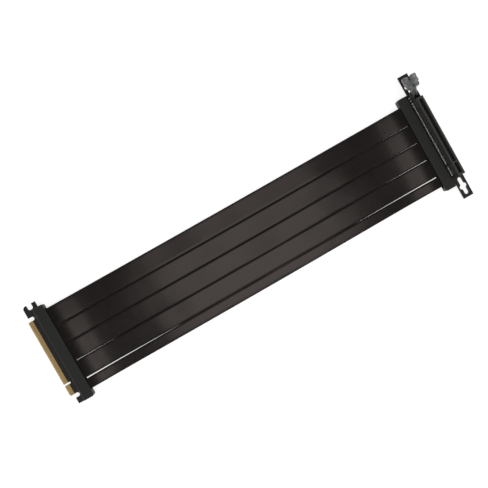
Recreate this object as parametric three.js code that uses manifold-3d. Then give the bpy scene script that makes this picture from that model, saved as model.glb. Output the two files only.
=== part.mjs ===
// A graphics card riser cable, laid flat: an edge plug, a two-layer shielded ribbon and a card socket.
// Millimetres. +X runs from the plug to the socket, +Y toward the latch end of the slot, +Z up.
// The origin is at the centre of the underside, on the surface that the cable lies on.

import * as THREE from 'three';
import { mergeVertices } from 'three/addons/utils/BufferGeometryUtils.js';
import Module from 'manifold-3d';

const wasm = await Module();
wasm.setup();

// How far fused pieces run into each other, and how far cutting solids run past what they cut
const FUSE_OVERLAP = 0.2;
const CUT_PAST = 1.0;

// Card edge interface, the same on the plug and in the socket
const CONTACT_PITCH = 1.0;
const LONG_ROW_CONTACTS = 71;
const SHORT_ROW_CONTACTS = 11;
const KEY_TO_FIRST_CONTACT = 1.5;
const KEY_NOTCH_WIDTH = 1.9;
const TONGUE_END_MARGIN = 0.65;
const BOARD_THICKNESS = 1.57;
const BOARD_MID_HEIGHT = 4.0;

// Shell halves, one design at both ends
const SHELL_LOBE = 6.6;
const SHELL_DEPTH = 12.0;
const SHELL_HEIGHT = 8.0;
const SHELL_LOBE_RADIUS = 2.3;
const SHELL_FRONT_BEVEL = 1.5;
const SHELL_EDGE_BEVEL = 0.6;
const SHELL_PEG_RADIUS = 1.1;
const SHELL_PEG_HEIGHT = 2.2;
const SHELL_PEG_FROM_RIM = 2.4;
const SHELL_PEG_FROM_END = 3.4;
const KEY_FROM_SHELL_CENTRE = 29.7;

// Plug board, measured back from its leading edge and along from the key notch
const TONGUE_REACH = 10.2;
const BOARD_INSIDE_SHELL = 7.0;
const KEY_NOTCH_DEPTH = 7.1;
const TONGUE_CORNER = 0.6;
const LEAD_IN_LENGTH = 1.3;
const LEAD_IN_TIP = 0.9;
const FINGER_WIDTH = 0.7;
const FINGER_END = 5.1;
const FINGER_PLATING = 0.05;
const HOOK_GAP_WIDTH = 3.9;
const HOOK_GAP_DEPTH = 7.9;
const HOOK_SETBACK = 2.3;
const HOOK_PRONG = 4.1;
const HOOK_NOTCH_WIDTH = 5.7;
const HOOK_NOTCH_DEPTH = 5.6;
const HOOK_NOTCH_RADIUS = 2.0;
const HOOK_REACH = 12.3;
const HOOK_CHAMFER = 2.0;
const TAB_GAP_WIDTH = 4.2;
const TAB_GAP_DEPTH = 9.4;
const TAB_SETBACK = 4.0;

// Ribbon
const RIBBON_SPAN = 411.0;
const PLUG_SIDESTEP = 2.3;
const STRIP_THICKNESS = 1.1;
const STRIP_EDGE_ROUND = 0.3;
const LANE_STRIP_WIDTH = 19.6;
const POWER_STRIP_WIDTH = 10.8;
const STRIP_INSIDE_SHELL = 7.5;
const STRIP_CLEARANCE = 0.3;
const STRIP_STEPS = 24;
const FLOOR_CLEARANCE = 0.05;

// Socket board and its slotted ears
const LATCH_EAR_REACH = 27.8;
const PLAIN_EAR_REACH = 24.2;
const EAR_WIDTH = 11.0;
const EAR_SLOT_WIDTH = 4.4;
const EAR_SLOT_LENGTH = 19.0;
const EAR_SLOT_FROM_END = 3.0;
const EAR_CROSS_WIDTH = 5.0;
const EAR_CROSS_LENGTH = 8.4;
const EAR_CROSS_FROM_END = 12.0;
const EAR_CROSS_TILT = THREE.MathUtils.degToRad(15);
const BOARD_END_SETBACK = 0.8;

// Slot housing
const SLOT_FROM_SHELL = 6.9;
const SLOT_WIDTH = 7.5;
const SLOT_HEIGHT = 11.25;
const SLOT_END_WALL = 2.2;
const CARD_GAP_WIDTH = 1.8;
const CARD_GAP_FLOOR = 2.35;
const CARD_END_CLEARANCE = 0.15;
const GAP_LEAD_IN = 0.5;
const KEY_BRIDGE_WIDTH = 1.6;
const KEY_BRIDGE_DROP = 0.6;
const CHAMBER_WIDTH = 0.6;
const CHAMBER_DEPTH = 1.3;
const CHAMBER_FLOOR = 3.2;
const CONTACT_WIDTH = 0.4;
const CONTACT_THICKNESS = 0.38;
const CONTACT_REACH = 0.4;
const CONTACT_ROOT_OFFSET = 1.65;
const CONTACT_POINT_HEIGHT = 8.0;
const CONTACT_TIP_HEIGHT = 9.7;
const CONTACT_TIP_OFFSET = 1.2;
const CONTACT_TIP_FALL = 0.1;

// Latch and the cheeks that carry it
const CHEEK_INNER = 2.95;
const CHEEK_LENGTH = 8.8;
const CHEEK_HEIGHT = 6.7;
const CHEEK_NOSE = 2.9;
const CHEEK_BOSS_RADIUS = 2.4;
const CHEEK_BOSS_HEIGHT = 0.55;
const PIVOT_FROM_SLOT_END = 5.3;
const PIVOT_HEIGHT = 3.2;
const PIVOT_RADIUS = 1.0;
const PIVOT_CLEARANCE = 0.3;
const LATCH_ARM_INNER = 1.1;
const LATCH_ARM_OUTER = 2.6;
const LATCH_FOOT_RADIUS = 2.6;
const LATCH_FOOT_ARC_START = THREE.MathUtils.degToRad(144);
const LATCH_FOOT_ARC_END = THREE.MathUtils.degToRad(320);
const LATCH_HEAD_WIDTH = 15.0;
const LATCH_HEAD_BASE = 9.2;
const LATCH_HEAD_THICKNESS = 3.9;
const LATCH_LOBE_WIDTH = 13.4;
const LATCH_LOBE_FROM_SLOT_END = 10.4;
const LATCH_LOBE_CHAMFER = 1.5;
const LATCH_BRIDGE_FROM_SLOT_END = 14.6;
const LATCH_BRIDGE_LENGTH = 4.2;
const LATCH_HEAD_REACH = 23.6;
const LATCH_THUMB_NOTCH = 3.0;
const LATCH_TOOTH_DROP = 2.0;
const LATCH_TOOTH_ROOT = 0.8;
const LATCH_DISH = 1.0;
const LATCH_CORNER = 0.9;

// Small ceramic capacitors on the socket board
const CAPACITOR_COUNT = 4;
const CAPACITOR_LENGTH = 2.0;
const CAPACITOR_WIDTH = 1.2;
const CAPACITOR_HEIGHT = 0.9;
const CAPACITOR_TERMINAL = 0.5;
const CAPACITOR_WAIST = 0.08;
const CAPACITOR_PITCH = 3.1;
const CAPACITOR_FIRST_PAST_SLOT = 3.9;

// Places that follow from the sizes above
const overallLength = TONGUE_REACH + 2 * SHELL_DEPTH + RIBBON_SPAN + SLOT_FROM_SHELL + LATCH_HEAD_WIDTH / 2;
const plugEdgeX = -overallLength / 2;
const plugShellX = plugEdgeX + TONGUE_REACH;
const ribbonStartX = plugShellX + SHELL_DEPTH;
const ribbonEndX = ribbonStartX + RIBBON_SPAN;
const socketShellX = ribbonEndX + SHELL_DEPTH;
const slotX = socketShellX + SLOT_FROM_SHELL;
const longTongue = KEY_TO_FIRST_CONTACT + (LONG_ROW_CONTACTS - 1) * CONTACT_PITCH + TONGUE_END_MARGIN;
const shortTongue = KEY_TO_FIRST_CONTACT + (SHORT_ROW_CONTACTS - 1) * CONTACT_PITCH + TONGUE_END_MARGIN;
const slotLongEnd = longTongue + CARD_END_CLEARANCE + SLOT_END_WALL;
const slotShortEnd = shortTongue + CARD_END_CLEARANCE + SLOT_END_WALL;
const socketBoardLength = LATCH_EAR_REACH + slotLongEnd + slotShortEnd + PLAIN_EAR_REACH;
const slotEndY = socketBoardLength / 2 - LATCH_EAR_REACH;
const socketKeyY = slotEndY - slotLongEnd;
const socketY = socketKeyY + KEY_FROM_SHELL_CENTRE;
const plugY = socketY - PLUG_SIDESTEP;
const plugKeyY = plugY - KEY_FROM_SHELL_CENTRE;
const boardTop = BOARD_MID_HEIGHT + BOARD_THICKNESS / 2;
const boardBottom = BOARD_MID_HEIGHT - BOARD_THICKNESS / 2;
const upperStripExit = boardTop + STRIP_CLEARANCE + STRIP_THICKNESS / 2;
const lowerStripExit = boardBottom - STRIP_CLEARANCE - STRIP_THICKNESS / 2;
const lowerStripRest = FLOOR_CLEARANCE + STRIP_THICKNESS / 2;
const upperStripRest = lowerStripRest + STRIP_THICKNESS + STRIP_CLEARANCE;

// The strips' route: distance from the plug shell, and how far up they still are between
// lying on the surface (0) and the height at which they leave a shell (1). The slight fall
// at the start settles which way the flat of the section faces.
const ribbonRoute = [
  [-STRIP_INSIDE_SHELL, 1], [-3, 0.995], [4, 0.98], [11, 0.84], [20, 0.55], [31, 0.26],
  [45, 0.09], [64, 0.01], [95, 0], [135, 0], [175, 0], [RIBBON_SPAN / 2, 0],
  [RIBBON_SPAN - 175, 0], [RIBBON_SPAN - 135, 0], [RIBBON_SPAN - 95, 0], [RIBBON_SPAN - 64, 0.01],
  [RIBBON_SPAN - 45, 0.09], [RIBBON_SPAN - 31, 0.26], [RIBBON_SPAN - 20, 0.55],
  [RIBBON_SPAN - 11, 0.84], [RIBBON_SPAN - 4, 0.98], [RIBBON_SPAN + 3, 1],
  [RIBBON_SPAN + STRIP_INSIDE_SHELL, 1],
];

// Sideways places are chosen at the plug, midway and at the socket, as the ribbon lies
const ribbonCentre = [-1.6, -1.15, -0.6].map((offset) => socketY + offset);

// The lower layer lies a little to one side, so that few seams go right through both
const lowerLayerShift = [-0.45, -1.2, -0.25];
const lowerLayerOverhang = -Math.min(lowerLayerShift[0], lowerLayerShift[2]);
const layers = [
  { name: 'upper', exit: upperStripExit, rest: upperStripRest, shift: [0, 0, 0] },
  { name: 'lower', exit: lowerStripExit, rest: lowerStripRest, shift: lowerLayerShift },
];

// The strips from the latch side down, each with the open seam above it
const stripRows = [
  { name: 'lane_strip_1', width: LANE_STRIP_WIDTH, seam: [0, 0, 0] },
  { name: 'lane_strip_2', width: LANE_STRIP_WIDTH, seam: [0.5, 0.4, 0.4] },
  { name: 'lane_strip_3', width: LANE_STRIP_WIDTH, seam: [0.3, 0.5, 0.3] },
  { name: 'lane_strip_4', width: LANE_STRIP_WIDTH, seam: [0.55, 0.4, 0.38] },
  { name: 'power_strip', width: POWER_STRIP_WIDTH, seam: [1.3, 0.4, 0.85] },
];

// Each strip's centre line at the three places, and the whole ribbon's edges and width
function layStrips() {
  const widths = [0, 1, 2].map((place) => (
    stripRows.reduce((total, row) => total + row.width + row.seam[place], 0)
  ));
  const ribbonTop = ribbonCentre.map((centre, place) => centre + widths[place] / 2);
  let edges = ribbonTop;
  const laid = stripRows.map((row) => {
    const tops = edges.map((edge, place) => edge - row.seam[place]);
    edges = tops.map((top) => top - row.width);
    return { ...row, centres: tops.map((top) => top - row.width / 2) };
  });
  return { laid, top: Math.max(...ribbonTop), bottom: Math.min(...edges), width: Math.max(...widths) };
}

const { laid: strips, top: ribbonTopY, bottom: ribbonBottomY, width: ribbonWidth } = layStrips();
const shellLength = ribbonWidth + 2 * SHELL_LOBE;

// Solids and geometry

function solidOf(geometry) {
  const bare = geometry.clone();
  bare.deleteAttribute('normal');
  bare.deleteAttribute('uv');
  const merged = mergeVertices(bare, 1e-5);
  return new wasm.Manifold(new wasm.Mesh({
    numProp: 3,
    vertProperties: new Float32Array(merged.attributes.position.array),
    triVerts: new Uint32Array(merged.index.array),
  }));
}

function geometryOf(solid) {
  const mesh = solid.getMesh();
  const geometry = new THREE.BufferGeometry();
  geometry.setAttribute('position', new THREE.BufferAttribute(mesh.vertProperties, 3));
  geometry.setIndex(new THREE.BufferAttribute(mesh.triVerts, 1));
  geometry.computeVertexNormals();
  return geometry;
}

function shapeOf(points) {
  return new THREE.Shape(points.map(([x, y]) => new THREE.Vector2(x, y)));
}

// A plan outline raised from one height to another
function plate(shape, bottom, top, curveSegments = 6) {
  const geometry = new THREE.ExtrudeGeometry(shape, {
    depth: top - bottom, bevelEnabled: false, curveSegments,
  });
  return solidOf(geometry.translate(0, 0, bottom));
}

// An outline drawn in x and z, run along y
function runAlongY(shape, start, end, curveSegments = 6) {
  const geometry = new THREE.ExtrudeGeometry(shape, {
    depth: end - start, bevelEnabled: false, curveSegments,
  });
  return solidOf(geometry.rotateX(Math.PI / 2).translate(0, end, 0));
}

// An outline drawn in y and z, run along x
function runAlongX(shape, start, end, curveSegments = 6) {
  const geometry = new THREE.ExtrudeGeometry(shape, {
    depth: end - start, bevelEnabled: false, curveSegments,
  });
  const turned = geometry.rotateX(Math.PI / 2).rotateZ(Math.PI / 2);
  return solidOf(turned.translate(start, 0, 0));
}

function block(x0, x1, y0, y1, z0, z1) {
  const geometry = new THREE.BoxGeometry(x1 - x0, y1 - y0, z1 - z0);
  return solidOf(geometry.translate((x0 + x1) / 2, (y0 + y1) / 2, (z0 + z1) / 2));
}

function peg(radius, x, y, bottom, top, sides = 12) {
  const geometry = new THREE.CylinderGeometry(radius, radius, top - bottom, sides);
  return solidOf(geometry.rotateX(Math.PI / 2).translate(x, y, (bottom + top) / 2));
}

function axle(radius, x0, x1, y, z, sides = 16) {
  const geometry = new THREE.CylinderGeometry(radius, radius, x1 - x0, sides);
  return solidOf(geometry.rotateZ(Math.PI / 2).translate((x0 + x1) / 2, y, z));
}

function joined(solids) {
  return wasm.Manifold.union(solids);
}

// A slot with round ends, as a plan outline
function roundEndedSlot(x, y, width, length, tilt = 0) {
  const radius = width / 2;
  const half = length / 2 - radius;
  const along = new THREE.Vector2(-Math.sin(tilt), Math.cos(tilt)).multiplyScalar(half);
  const slot = new THREE.Shape();
  slot.absarc(x + along.x, y + along.y, radius, tilt, tilt + Math.PI, false);
  slot.absarc(x - along.x, y - along.y, radius, tilt + Math.PI, tilt + 2 * Math.PI, false);
  slot.closePath();
  return slot;
}

// Contact places along a row, measured from the key
function contactPlaces() {
  const places = [];
  for (let i = 0; i < LONG_ROW_CONTACTS; i++) {
    places.push(KEY_TO_FIRST_CONTACT + i * CONTACT_PITCH);
  }
  for (let i = 0; i < SHORT_ROW_CONTACTS; i++) {
    places.push(-KEY_TO_FIRST_CONTACT - i * CONTACT_PITCH);
  }
  return places;
}

// Plug board: tongue, key notch, hooked arm at one end and plain tab at the other

function plugBoardOutline() {
  const at = (x, y) => [plugEdgeX + x, plugKeyY + y];
  const inner = TONGUE_REACH + BOARD_INSIDE_SHELL;
  const tabEnd = KEY_FROM_SHELL_CENTRE - shellLength / 2;
  const hookStart = longTongue + HOOK_GAP_WIDTH;
  const hookTop = hookStart + HOOK_REACH;
  const notchStart = HOOK_SETBACK + HOOK_PRONG;
  const notchEnd = notchStart + HOOK_NOTCH_WIDTH;
  const notchFloor = hookTop - HOOK_NOTCH_DEPTH;
  const hookEnd = notchEnd + HOOK_PRONG;
  const outline = new THREE.Shape();
  const line = (x, y) => outline.lineTo(...at(x, y));
  const bow = (x, y, radius, from, to, clockwise) => {
    const [cx, cy] = at(x, y);
    outline.absarc(cx, cy, radius, from, to, clockwise);
  };
  outline.moveTo(...at(inner, tabEnd));
  line(inner, hookStart);
  line(hookEnd, hookStart);
  line(hookEnd, hookTop);
  line(notchEnd, hookTop);
  bow(notchEnd - HOOK_NOTCH_RADIUS, notchFloor + HOOK_NOTCH_RADIUS, HOOK_NOTCH_RADIUS, 0, -Math.PI / 2, true);
  bow(notchStart + HOOK_NOTCH_RADIUS, notchFloor + HOOK_NOTCH_RADIUS, HOOK_NOTCH_RADIUS,
    -Math.PI / 2, -Math.PI, true);
  line(notchStart, hookTop);
  line(HOOK_SETBACK + HOOK_CHAMFER, hookTop);
  line(HOOK_SETBACK, hookTop - HOOK_CHAMFER);
  line(HOOK_SETBACK, hookStart);
  const hookGapRadius = HOOK_GAP_WIDTH / 2;
  bow(HOOK_GAP_DEPTH - hookGapRadius, longTongue + hookGapRadius, hookGapRadius,
    Math.PI / 2, -Math.PI / 2, true);
  line(TONGUE_CORNER, longTongue);
  line(0, longTongue - TONGUE_CORNER);
  const notchRadius = KEY_NOTCH_WIDTH / 2;
  line(0, notchRadius);
  bow(KEY_NOTCH_DEPTH - notchRadius, 0, notchRadius, Math.PI / 2, -Math.PI / 2, true);
  line(0, -notchRadius);
  line(0, TONGUE_CORNER - shortTongue);
  line(TONGUE_CORNER, -shortTongue);
  const tabGapRadius = TAB_GAP_WIDTH / 2;
  bow(TAB_GAP_DEPTH - tabGapRadius, -shortTongue - tabGapRadius, tabGapRadius,
    Math.PI / 2, -Math.PI / 2, true);
  line(TAB_SETBACK, -shortTongue - TAB_GAP_WIDTH);
  line(TAB_SETBACK, tabEnd);
  outline.closePath();
  return outline;
}

function plugBoard() {
  const bare = plate(plugBoardOutline(), boardBottom, boardTop);
  const back = plugEdgeX + TONGUE_REACH + BOARD_INSIDE_SHELL + CUT_PAST;
  const tip = LEAD_IN_TIP / 2;
  const side = shapeOf([
    [plugEdgeX, BOARD_MID_HEIGHT - tip],
    [plugEdgeX + LEAD_IN_LENGTH, boardBottom],
    [back, boardBottom],
    [back, boardTop],
    [plugEdgeX + LEAD_IN_LENGTH, boardTop],
    [plugEdgeX, BOARD_MID_HEIGHT + tip],
  ]);
  const bevelled = bare.intersect(runAlongY(side, -shellLength, shellLength));
  const fingers = contactPlaces().map((place) => {
    const y = plugKeyY + place;
    return block(
      plugEdgeX + LEAD_IN_LENGTH, plugEdgeX + FINGER_END,
      y - FINGER_WIDTH / 2, y + FINGER_WIDTH / 2,
      boardBottom - FINGER_PLATING, boardTop + FINGER_PLATING,
    );
  });
  return joined([bevelled, ...fingers]);
}

// Shell halves. toward is +1 where the board side of the shell faces +X, and -1 where it faces -X.

function shellPlan(faceX, centreY, toward) {
  const rimX = faceX - toward * SHELL_DEPTH;
  const top = centreY + shellLength / 2;
  const bottom = centreY - shellLength / 2;
  const r = SHELL_LOBE_RADIUS;
  const cornerX = rimX + toward * r;
  const quarter = Math.PI / 2;
  const plan = new THREE.Shape();
  plan.moveTo(faceX, bottom);
  plan.lineTo(faceX, top);
  plan.lineTo(cornerX, top);
  plan.absarc(cornerX, top - r, r, quarter, quarter + toward * quarter, toward < 0);
  plan.lineTo(rimX, bottom + r);
  plan.absarc(cornerX, bottom + r, r, -quarter - toward * quarter, -quarter, toward < 0);
  plan.closePath();
  return plan;
}

// The upper half as a block with its outer edges bevelled; the lower half is the same turned over
function shellBlock(faceX, centreY, toward, upper) {
  const split = BOARD_MID_HEIGHT;
  const outer = upper ? SHELL_HEIGHT : 0;
  const inward = upper ? -1 : 1;
  const rimX = faceX - toward * SHELL_DEPTH;
  const ends = [centreY - shellLength / 2, centreY + shellLength / 2];
  const across = shapeOf([
    [faceX, split],
    [faceX, outer + inward * SHELL_FRONT_BEVEL],
    [faceX - toward * SHELL_FRONT_BEVEL, outer],
    [rimX + toward * SHELL_EDGE_BEVEL, outer],
    [rimX, outer + inward * SHELL_EDGE_BEVEL],
    [rimX, split],
  ]);
  const along = shapeOf([
    [ends[0], split],
    [ends[0], outer + inward * SHELL_EDGE_BEVEL],
    [ends[0] + SHELL_EDGE_BEVEL, outer],
    [ends[1] - SHELL_EDGE_BEVEL, outer],
    [ends[1], outer + inward * SHELL_EDGE_BEVEL],
    [ends[1], split],
  ]);
  const low = Math.min(split, outer);
  const high = Math.max(split, outer);
  return plate(shellPlan(faceX, centreY, toward), low, high)
    .intersect(runAlongY(across, ends[0], ends[1]))
    .intersect(runAlongX(along, Math.min(faceX, rimX), Math.max(faceX, rimX)));
}

function shellPegPlaces(faceX, centreY, toward) {
  const x = faceX - toward * (SHELL_DEPTH - SHELL_PEG_FROM_RIM);
  const reach = shellLength / 2 - SHELL_PEG_FROM_END;
  return [[x, centreY - reach], [x, centreY + reach]];
}

function shellHalf(faceX, centreY, toward, upper) {
  const rimX = faceX - toward * SHELL_DEPTH;
  const inner = faceX - toward * (BOARD_INSIDE_SHELL + STRIP_CLEARANCE);
  const stripEnd = rimX + toward * (STRIP_INSIDE_SHELL + STRIP_CLEARANCE);
  const split = BOARD_MID_HEIGHT;
  const boardFace = upper ? boardTop : boardBottom;
  const stripFace = upper
    ? upperStripExit + STRIP_THICKNESS / 2 + STRIP_CLEARANCE
    : lowerStripExit - STRIP_THICKNESS / 2 - STRIP_CLEARANCE;
  const boardPocket = block(
    Math.min(inner, faceX + toward * CUT_PAST), Math.max(inner, faceX + toward * CUT_PAST),
    centreY - shellLength / 2 - CUT_PAST, centreY + shellLength / 2 + CUT_PAST,
    Math.min(split - CUT_PAST, boardFace), Math.max(split + CUT_PAST, boardFace),
  );
  const mouth = block(
    Math.min(stripEnd, rimX - toward * CUT_PAST), Math.max(stripEnd, rimX - toward * CUT_PAST),
    ribbonBottomY - lowerLayerOverhang - STRIP_CLEARANCE, ribbonTopY + STRIP_CLEARANCE,
    Math.min(split - CUT_PAST, stripFace), Math.max(split + CUT_PAST, stripFace),
  );
  const half = shellBlock(faceX, centreY, toward, upper).subtract(boardPocket).subtract(mouth);
  const places = shellPegPlaces(faceX, centreY, toward);
  if (upper) {
    const holes = places.map(([x, y]) => peg(
      SHELL_PEG_RADIUS + STRIP_CLEARANCE, x, y, split - CUT_PAST, split + SHELL_PEG_HEIGHT + STRIP_CLEARANCE,
    ));
    return half.subtract(joined(holes));
  }
  const pegs = places.map(([x, y]) => peg(SHELL_PEG_RADIUS, x, y, split - CUT_PAST, split + SHELL_PEG_HEIGHT));
  return joined([half, ...pegs]);
}

// Socket board: a long narrow board with a slotted ear past each end of the slot

function socketBoard() {
  const inner = socketShellX - BOARD_INSIDE_SHELL;
  const earLeft = slotX - EAR_WIDTH / 2;
  const earRight = slotX + EAR_WIDTH / 2;
  const end = socketBoardLength / 2;
  const backTop = socketY + shellLength / 2 - BOARD_END_SETBACK;
  const backBottom = socketY - shellLength / 2 + BOARD_END_SETBACK;
  const outline = shapeOf([
    [inner, backBottom], [earLeft, backBottom], [earLeft, -end], [earRight, -end],
    [earRight, end], [earLeft, end], [earLeft, backTop], [inner, backTop],
  ]);
  const board = plate(outline, boardBottom, boardTop);
  const holes = [-1, 1].flatMap((side) => {
    const slotY = side * (end - EAR_SLOT_FROM_END - EAR_SLOT_LENGTH / 2);
    const crossY = side * (end - EAR_CROSS_FROM_END);
    const long = roundEndedSlot(slotX, slotY, EAR_SLOT_WIDTH, EAR_SLOT_LENGTH);
    const tilt = Math.PI / 2 + EAR_CROSS_TILT;
    const cross = roundEndedSlot(slotX, crossY, EAR_CROSS_WIDTH, EAR_CROSS_LENGTH, tilt);
    return [plate(long, 0, SHELL_HEIGHT), plate(cross, 0, SHELL_HEIGHT)];
  });
  return board.subtract(joined(holes));
}

// Slot housing: the card gap with its key, a chamber and a sprung contact for every finger of a card

function contactBeam(side, y) {
  const point = CARD_GAP_WIDTH / 2 - CONTACT_REACH;
  const profile = shapeOf([
    [CONTACT_ROOT_OFFSET, CHAMBER_FLOOR - FUSE_OVERLAP],
    [CONTACT_ROOT_OFFSET + CONTACT_THICKNESS, CHAMBER_FLOOR - FUSE_OVERLAP],
    [point + CONTACT_THICKNESS, CONTACT_POINT_HEIGHT],
    [CONTACT_TIP_OFFSET + CONTACT_THICKNESS, CONTACT_TIP_HEIGHT - CONTACT_TIP_FALL],
    [CONTACT_TIP_OFFSET, CONTACT_TIP_HEIGHT],
    [point, CONTACT_POINT_HEIGHT],
  ].map(([x, z]) => [slotX + side * x, boardTop + z]));
  return runAlongY(profile, y - CONTACT_WIDTH / 2, y + CONTACT_WIDTH / 2);
}

function contactChamber(side, y) {
  const near = slotX;
  const far = slotX + side * (CARD_GAP_WIDTH / 2 + CHAMBER_DEPTH);
  return block(
    Math.min(near, far), Math.max(near, far),
    y - CHAMBER_WIDTH / 2, y + CHAMBER_WIDTH / 2,
    boardTop + CHAMBER_FLOOR, boardTop + SLOT_HEIGHT + CUT_PAST,
  );
}

function cardGap(y0, y1) {
  const half = CARD_GAP_WIDTH / 2;
  const top = boardTop + SLOT_HEIGHT;
  const floor = boardTop + CARD_GAP_FLOOR;
  const profile = shapeOf([
    [slotX - half, floor], [slotX + half, floor], [slotX + half, top - GAP_LEAD_IN],
    [slotX + half + GAP_LEAD_IN, top], [slotX + half + GAP_LEAD_IN, top + CUT_PAST],
    [slotX - half - GAP_LEAD_IN, top + CUT_PAST], [slotX - half - GAP_LEAD_IN, top],
    [slotX - half, top - GAP_LEAD_IN],
  ]);
  return runAlongY(profile, y0, y1);
}

function latchCheek(side) {
  const inner = slotX + side * CHEEK_INNER;
  const outer = slotX + side * SLOT_WIDTH / 2;
  const bossFace = slotX + side * (SLOT_WIDTH / 2 + CHEEK_BOSS_HEIGHT);
  const pivotY = slotEndY + PIVOT_FROM_SLOT_END;
  const pivotZ = boardTop + PIVOT_HEIGHT;
  const profile = shapeOf([
    [slotEndY - FUSE_OVERLAP, boardTop], [slotEndY + CHEEK_LENGTH, boardTop],
    [slotEndY + CHEEK_LENGTH, boardTop + CHEEK_HEIGHT - CHEEK_NOSE],
    [slotEndY + CHEEK_LENGTH - CHEEK_NOSE, boardTop + CHEEK_HEIGHT],
    [slotEndY - FUSE_OVERLAP, boardTop + CHEEK_HEIGHT],
  ]);
  const cheek = runAlongX(profile, Math.min(inner, outer), Math.max(inner, outer));
  const boss = axle(CHEEK_BOSS_RADIUS, Math.min(inner, bossFace), Math.max(inner, bossFace), pivotY, pivotZ);
  return cheek.add(boss);
}

function slotHousing() {
  const top = boardTop + SLOT_HEIGHT;
  const shortEndY = socketKeyY - slotShortEnd;
  const half = SLOT_WIDTH / 2;
  const body = block(slotX - half, slotX + half, shortEndY, slotEndY, boardTop, top);
  const longGap = cardGap(socketKeyY + KEY_BRIDGE_WIDTH / 2, socketKeyY + longTongue + CARD_END_CLEARANCE);
  const shortGap = cardGap(socketKeyY - shortTongue - CARD_END_CLEARANCE, socketKeyY - KEY_BRIDGE_WIDTH / 2);
  const keyDrop = block(
    slotX - CARD_GAP_WIDTH / 2, slotX + CARD_GAP_WIDTH / 2,
    socketKeyY - KEY_BRIDGE_WIDTH, socketKeyY + KEY_BRIDGE_WIDTH,
    top - KEY_BRIDGE_DROP, top + CUT_PAST,
  );
  const rowPlaces = contactPlaces().map((place) => socketKeyY + place);
  const chambers = rowPlaces.flatMap((y) => [contactChamber(-1, y), contactChamber(1, y)]);
  const contacts = rowPlaces.flatMap((y) => [contactBeam(-1, y), contactBeam(1, y)]);
  const pivotY = slotEndY + PIVOT_FROM_SLOT_END;
  const pivotHole = axle(
    PIVOT_RADIUS + PIVOT_CLEARANCE, slotX - SLOT_WIDTH, slotX + SLOT_WIDTH, pivotY, boardTop + PIVOT_HEIGHT,
  );
  const moulding = joined([body, latchCheek(-1), latchCheek(1)])
    .subtract(joined([longGap, shortGap, keyDrop, pivotHole, ...chambers]));
  return joined([moulding, ...contacts]);
}

// Retention latch: two arms on one axle, a tooth between them and a forked thumb head

function latchArm(side) {
  const pivotY = slotEndY + PIVOT_FROM_SLOT_END;
  const pivotZ = boardTop + PIVOT_HEIGHT;
  const headZ = boardTop + LATCH_HEAD_BASE;
  const arm = new THREE.Shape();
  arm.absarc(pivotY, pivotZ, LATCH_FOOT_RADIUS, LATCH_FOOT_ARC_START, LATCH_FOOT_ARC_END, false);
  arm.lineTo(slotEndY + LATCH_BRIDGE_FROM_SLOT_END, headZ);
  arm.lineTo(slotEndY + LATCH_BRIDGE_FROM_SLOT_END, headZ + LATCH_HEAD_THICKNESS / 2);
  arm.lineTo(slotEndY + LATCH_LOBE_FROM_SLOT_END, headZ + LATCH_HEAD_THICKNESS / 2);
  arm.closePath();
  const inner = slotX + side * LATCH_ARM_INNER;
  const outer = slotX + side * LATCH_ARM_OUTER;
  return runAlongX(arm, Math.min(inner, outer), Math.max(inner, outer));
}

// Plan outline of the head: lobes toward the slot, a bridge, and two prongs for the thumb
function latchHeadPlan() {
  const half = LATCH_HEAD_WIDTH / 2;
  const lobe = LATCH_LOBE_WIDTH / 2;
  const slit = LATCH_ARM_INNER;
  const notch = LATCH_THUMB_NOTCH / 2;
  const c = LATCH_CORNER;
  const lobeY = slotEndY + LATCH_LOBE_FROM_SLOT_END;
  const bridgeY = slotEndY + LATCH_BRIDGE_FROM_SLOT_END;
  const forkY = bridgeY + LATCH_BRIDGE_LENGTH;
  const endY = slotEndY + LATCH_HEAD_REACH;
  const right = [
    [slit, bridgeY], [slit, lobeY], [lobe - LATCH_LOBE_CHAMFER, lobeY], [lobe, lobeY + LATCH_LOBE_CHAMFER],
    [lobe, bridgeY], [half, bridgeY + c], [half, endY - c], [half - c, endY],
    [notch + c, endY], [notch, endY - c], [notch, forkY],
  ];
  const left = right.map(([x, y]) => [-x, y]).reverse();
  return shapeOf([...right, ...left].map(([x, y]) => [slotX + x, y]));
}

function retentionLatch() {
  const pivotY = slotEndY + PIVOT_FROM_SLOT_END;
  const pivotZ = boardTop + PIVOT_HEIGHT;
  const headZ = boardTop + LATCH_HEAD_BASE;
  const pinEnd = SLOT_WIDTH / 2 + CHEEK_BOSS_HEIGHT;
  const lobeY = slotEndY + LATCH_LOBE_FROM_SLOT_END;
  const bridgeY = slotEndY + LATCH_BRIDGE_FROM_SLOT_END;
  const endY = slotEndY + LATCH_HEAD_REACH;
  const headTop = headZ + LATCH_HEAD_THICKNESS;
  const head = plate(latchHeadPlan(), headZ, headTop);
  const side = shapeOf([
    [lobeY, headZ], [endY - LATCH_CORNER, headZ], [endY, headZ + LATCH_CORNER],
    [endY, headTop - LATCH_CORNER], [endY - LATCH_CORNER, headTop],
    [bridgeY + LATCH_BRIDGE_LENGTH, headTop - LATCH_DISH],
    [bridgeY + LATCH_CORNER, headTop],
    [bridgeY - LATCH_CORNER, headTop - LATCH_DISH],
    [lobeY, headTop - LATCH_DISH],
  ]);
  const shapedHead = head.intersect(runAlongX(side, slotX - LATCH_HEAD_WIDTH, slotX + LATCH_HEAD_WIDTH));
  const tooth = block(
    slotX - LATCH_ARM_INNER - FUSE_OVERLAP, slotX + LATCH_ARM_INNER + FUSE_OVERLAP,
    lobeY, bridgeY + FUSE_OVERLAP, headZ - LATCH_TOOTH_DROP, headZ + LATCH_TOOTH_ROOT,
  );
  const pin = axle(PIVOT_RADIUS, slotX - pinEnd, slotX + pinEnd, pivotY, pivotZ);
  return joined([shapedHead, tooth, pin, latchArm(-1), latchArm(1)]);
}

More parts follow.
